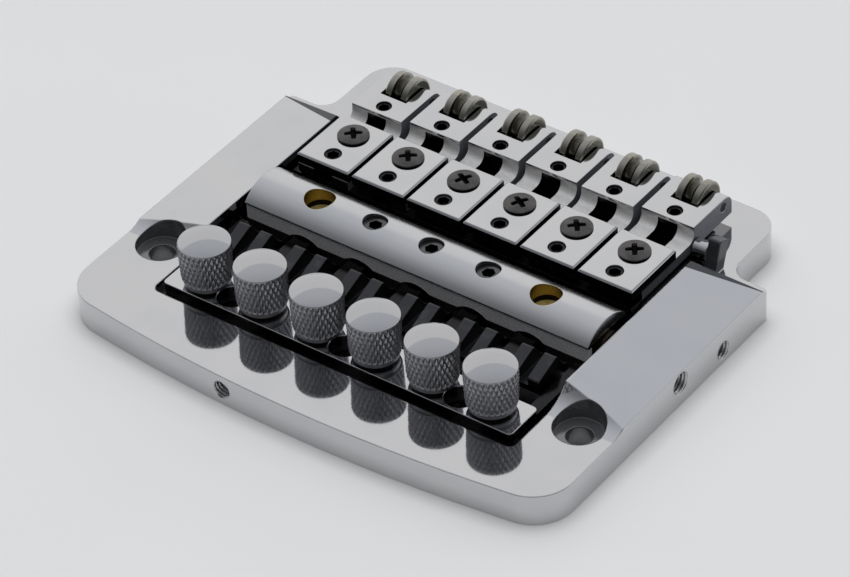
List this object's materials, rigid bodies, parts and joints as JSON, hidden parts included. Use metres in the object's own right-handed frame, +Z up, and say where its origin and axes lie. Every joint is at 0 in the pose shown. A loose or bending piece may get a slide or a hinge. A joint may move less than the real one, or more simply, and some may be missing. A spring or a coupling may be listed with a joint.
{
  "type": "guitar tremolo bridge",
  "caption": "Chrome cam tremolo bridge for an electric guitar: bowed base, rocking cam bar, knurled fine tuners with string hooks, and clamped saddles with string rollers.",
  "frame": {"origin": "middle of the base plate's underside, on the bounding box's bottom", "axes": "+X across the strings to the treble side, +Y along the strings to the neck, +Z up out of the guitar top"},
  "size_m": [0.0914, 0.0778, 0.0154],
  "materials": {
    "chrome_base": "polished chrome plate on the cast base",
    "chrome_cam": "polished chrome plate",
    "chrome_plate": "polished chrome plate with darker edges",
    "chrome_deck": "satin chrome plate",
    "chrome_saddle": "polished chrome plate",
    "chrome_knob": "polished cap over a diamond-knurled barrel",
    "chrome_screw": "bright socket head",
    "dark_steel": "satin dark steel",
    "hook_steel": "blackened steel, lightly worn",
    "steel": "turned steel",
    "black_steel": "black oxide",
    "gunmetal": "dark gunmetal plate",
    "spring_wire": "drawn spring wire",
    "nickel": "warm nickel, turned",
    "brass": "aged brass",
    "bronze": "sintered bronze"
  },
  "bodies": {
    "base": {"base_plate": "chrome_base", "cam_pivot_screws": "black_steel", "deck_pivot_pins": "steel", "deck_lock_screws": "black_steel", "spring_anchors": "steel", "tension_springs": "spring_wire"},
    "cam": {"cam_bar": "chrome_cam", "cam_block": "dark_steel", "cam_bearings": "bronze", "cam_screws": "chrome_screw", "spring_posts": "brass", "tuner_plate": "chrome_plate", "hook_rod": "steel"},
    "deck": {"saddle_deck": "chrome_deck", "clamp_blocks": "chrome_saddle", "lock_screws": "gunmetal", "heel_screws": "black_steel"},
    "hook_1": {"string_hook_1": "hook_steel"},
    "stud_1": {"tuner_stud_1": "steel"},
    "knob_1": {"tuner_knob_1": "chrome_knob"},
    "saddle_1": {"saddle_arm_1": "chrome_saddle", "height_screw_1": "black_steel", "roller_axle_1": "steel"},
    "roller_1": {"saddle_roller_1": "nickel"},
    "hook_2": {"string_hook_2": "hook_steel"},
    "stud_2": {"tuner_stud_2": "steel"},
    "knob_2": {"tuner_knob_2": "chrome_knob"},
    "saddle_2": {"saddle_arm_2": "chrome_saddle", "height_screw_2": "black_steel", "roller_axle_2": "steel"},
    "roller_2": {"saddle_roller_2": "nickel"},
    "hook_3": {"string_hook_3": "hook_steel"},
    "stud_3": {"tuner_stud_3": "steel"},
    "knob_3": {"tuner_knob_3": "chrome_knob"},
    "saddle_3": {"saddle_arm_3": "chrome_saddle", "height_screw_3": "black_steel", "roller_axle_3": "steel"},
    "roller_3": {"saddle_roller_3": "nickel"},
    "hook_4": {"string_hook_4": "hook_steel"},
    "stud_4": {"tuner_stud_4": "steel"},
    "knob_4": {"tuner_knob_4": "chrome_knob"},
    "saddle_4": {"saddle_arm_4": "chrome_saddle", "height_screw_4": "black_steel", "roller_axle_4": "steel"},
    "roller_4": {"saddle_roller_4": "nickel"},
    "hook_5": {"string_hook_5": "hook_steel"},
    "stud_5": {"tuner_stud_5": "steel"},
    "knob_5": {"tuner_knob_5": "chrome_knob"},
    "saddle_5": {"saddle_arm_5": "chrome_saddle", "height_screw_5": "black_steel", "roller_axle_5": "steel"},
    "roller_5": {"saddle_roller_5": "nickel"},
    "hook_6": {"string_hook_6": "hook_steel"},
    "stud_6": {"tuner_stud_6": "steel"},
    "knob_6": {"tuner_knob_6": "chrome_knob"},
    "saddle_6": {"saddle_arm_6": "chrome_saddle", "height_screw_6": "black_steel", "roller_axle_6": "steel"},
    "roller_6": {"saddle_roller_6": "nickel"}
  },
  "joints": [
    {"name": "cam_rock", "type": "hinge", "parent": "base", "child": "cam", "pos_m": [0, -0.001, 0.0042], "axis": [-1, 0, 0], "range_deg": [-2.5, 20], "stiffness_Nm_per_rad": 0.6, "deforming": ["tension_springs"]},
    {"name": "deck_tilt", "type": "hinge", "parent": "base", "child": "deck", "pos_m": [0, 0.0246, 0.0032], "axis": [-1, 0, 0], "range_deg": [-0.9, 0.9]},
    {"name": "stud_travel_1", "type": "slide", "parent": "cam", "child": "stud_1", "axis": [0, 0, 1], "range_m": [-0.00044, 0.00046]},
    {"name": "knob_turn_1", "type": "hinge", "parent": "stud_1", "child": "knob_1", "pos_m": [-0.02675, -0.0229, 0.0065], "axis": [0, 0, 1], "range_deg": [-230, 240]},
    {"name": "hook_swing_1", "type": "hinge", "parent": "cam", "child": "hook_1", "pos_m": [-0.02675, -0.0096, 0.004], "axis": [1, 0, 0], "range_deg": [-2.05, 2.05]},
    {"name": "saddle_slide_1", "type": "slide", "parent": "deck", "child": "saddle_1", "axis": [0, 1, 0], "range_m": [-0.0003, 0.0039]},
    {"name": "roller_turn_1", "type": "hinge", "parent": "saddle_1", "child": "roller_1", "pos_m": [-0.02675, 0.0293, 0.0095], "axis": [1, 0, 0], "continuous": true},
    {"name": "stud_travel_2", "type": "slide", "parent": "cam", "child": "stud_2", "axis": [0, 0, 1], "range_m": [-0.00044, 0.00046]},
    {"name": "knob_turn_2", "type": "hinge", "parent": "stud_2", "child": "knob_2", "pos_m": [-0.01605, -0.0229, 0.0065], "axis": [0, 0, 1], "range_deg": [-230, 240]},
    {"name": "hook_swing_2", "type": "hinge", "parent": "cam", "child": "hook_2", "pos_m": [-0.01605, -0.0096, 0.004], "axis": [1, 0, 0], "range_deg": [-2.05, 2.05]},
    {"name": "saddle_slide_2", "type": "slide", "parent": "deck", "child": "saddle_2", "axis": [0, 1, 0], "range_m": [-0.0012, 0.003]},
    {"name": "roller_turn_2", "type": "hinge", "parent": "saddle_2", "child": "roller_2", "pos_m": [-0.01605, 0.0302, 0.0095], "axis": [1, 0, 0], "continuous": true},
    {"name": "stud_travel_3", "type": "slide", "parent": "cam", "child": "stud_3", "axis": [0, 0, 1], "range_m": [-0.00044, 0.00046]},
    {"name": "knob_turn_3", "type": "hinge", "parent": "stud_3", "child": "knob_3", "pos_m": [-0.00535, -0.0229, 0.0065], "axis": [0, 0, 1], "range_deg": [-230, 240]},
    {"name": "hook_swing_3", "type": "hinge", "parent": "cam", "child": "hook_3", "pos_m": [-0.00535, -0.0096, 0.004], "axis": [1, 0, 0], "range_deg": [-2.05, 2.05]},
    {"name": "saddle_slide_3", "type": "slide", "parent": "deck", "child": "saddle_3", "axis": [0, 1, 0], "range_m": [-0.0021, 0.0021]},
    {"name": "roller_turn_3", "type": "hinge", "parent": "saddle_3", "child": "roller_3", "pos_m": [-0.00535, 0.0311, 0.0095], "axis": [1, 0, 0], "continuous": true},
    {"name": "stud_travel_4", "type": "slide", "parent": "cam", "child": "stud_4", "axis": [0, 0, 1], "range_m": [-0.00044, 0.00046]},
    {"name": "knob_turn_4", "type": "hinge", "parent": "stud_4", "child": "knob_4", "pos_m": [0.00535, -0.0229, 0.0065], "axis": [0, 0, 1], "range_deg": [-230, 240]},
    {"name": "hook_swing_4", "type": "hinge", "parent": "cam", "child": "hook_4", "pos_m": [0.00535, -0.0096, 0.004], "axis": [1, 0, 0], "range_deg": [-2.05, 2.05]},
    {"name": "saddle_slide_4", "type": "slide", "parent": "deck", "child": "saddle_4", "axis": [0, 1, 0], "range_m": [-0.0026, 0.0016]},
    {"name": "roller_turn_4", "type": "hinge", "parent": "saddle_4", "child": "roller_4", "pos_m": [0.00535, 0.0316, 0.0095], "axis": [1, 0, 0], "continuous": true},
    {"name": "stud_travel_5", "type": "slide", "parent": "cam", "child": "stud_5", "axis": [0, 0, 1], "range_m": [-0.00044, 0.00046]},
    {"name": "knob_turn_5", "type": "hinge", "parent": "stud_5", "child": "knob_5", "pos_m": [0.01605, -0.0229, 0.0065], "axis": [0, 0, 1], "range_deg": [-230, 240]},
    {"name": "hook_swing_5", "type": "hinge", "parent": "cam", "child": "hook_5", "pos_m": [0.01605, -0.0096, 0.004], "axis": [1, 0, 0], "range_deg": [-2.05, 2.05]},
    {"name": "saddle_slide_5", "type": "slide", "parent": "deck", "child": "saddle_5", "axis": [0, 1, 0], "range_m": [-0.0024, 0.0018]},
    {"name": "roller_turn_5", "type": "hinge", "parent": "saddle_5", "child": "roller_5", "pos_m": [0.01605, 0.0314, 0.0095], "axis": [1, 0, 0], "continuous": true},
    {"name": "stud_travel_6", "type": "slide", "parent": "cam", "child": "stud_6", "axis": [0, 0, 1], "range_m": [-0.00044, 0.00046]},
    {"name": "knob_turn_6", "type": "hinge", "parent": "stud_6", "child": "knob_6", "pos_m": [0.02675, -0.0229, 0.0065], "axis": [0, 0, 1], "range_deg": [-230, 240]},
    {"name": "hook_swing_6", "type": "hinge", "parent": "cam", "child": "hook_6", "pos_m": [0.02675, -0.0096, 0.004], "axis": [1, 0, 0], "range_deg": [-2.05, 2.05]},
    {"name": "saddle_slide_6", "type": "slide", "parent": "deck", "child": "saddle_6", "axis": [0, 1, 0], "range_m": [-0.0032, 0.001]},
    {"name": "roller_turn_6", "type": "hinge", "parent": "saddle_6", "child": "roller_6", "pos_m": [0.02675, 0.0322, 0.0095], "axis": [1, 0, 0], "continuous": true}
  ],
  "couplings": [
    {"joint": "knob_turn_1", "follows": "stud_travel_1", "rad_per_m": 8976},
    {"joint": "hook_swing_1", "follows": "stud_travel_1", "rad_per_m": -75.188},
    {"joint": "knob_turn_2", "follows": "stud_travel_2", "rad_per_m": 8976},
    {"joint": "hook_swing_2", "follows": "stud_travel_2", "rad_per_m": -75.188},
    {"joint": "knob_turn_3", "follows": "stud_travel_3", "rad_per_m": 8976},
    {"joint": "hook_swing_3", "follows": "stud_travel_3", "rad_per_m": -75.188},
    {"joint": "knob_turn_4", "follows": "stud_travel_4", "rad_per_m": 8976},
    {"joint": "hook_swing_4", "follows": "stud_travel_4", "rad_per_m": -75.188},
    {"joint": "knob_turn_5", "follows": "stud_travel_5", "rad_per_m": 8976},
    {"joint": "hook_swing_5", "follows": "stud_travel_5", "rad_per_m": -75.188},
    {"joint": "knob_turn_6", "follows": "stud_travel_6", "rad_per_m": 8976},
    {"joint": "hook_swing_6", "follows": "stud_travel_6", "rad_per_m": -75.188}
  ]
}
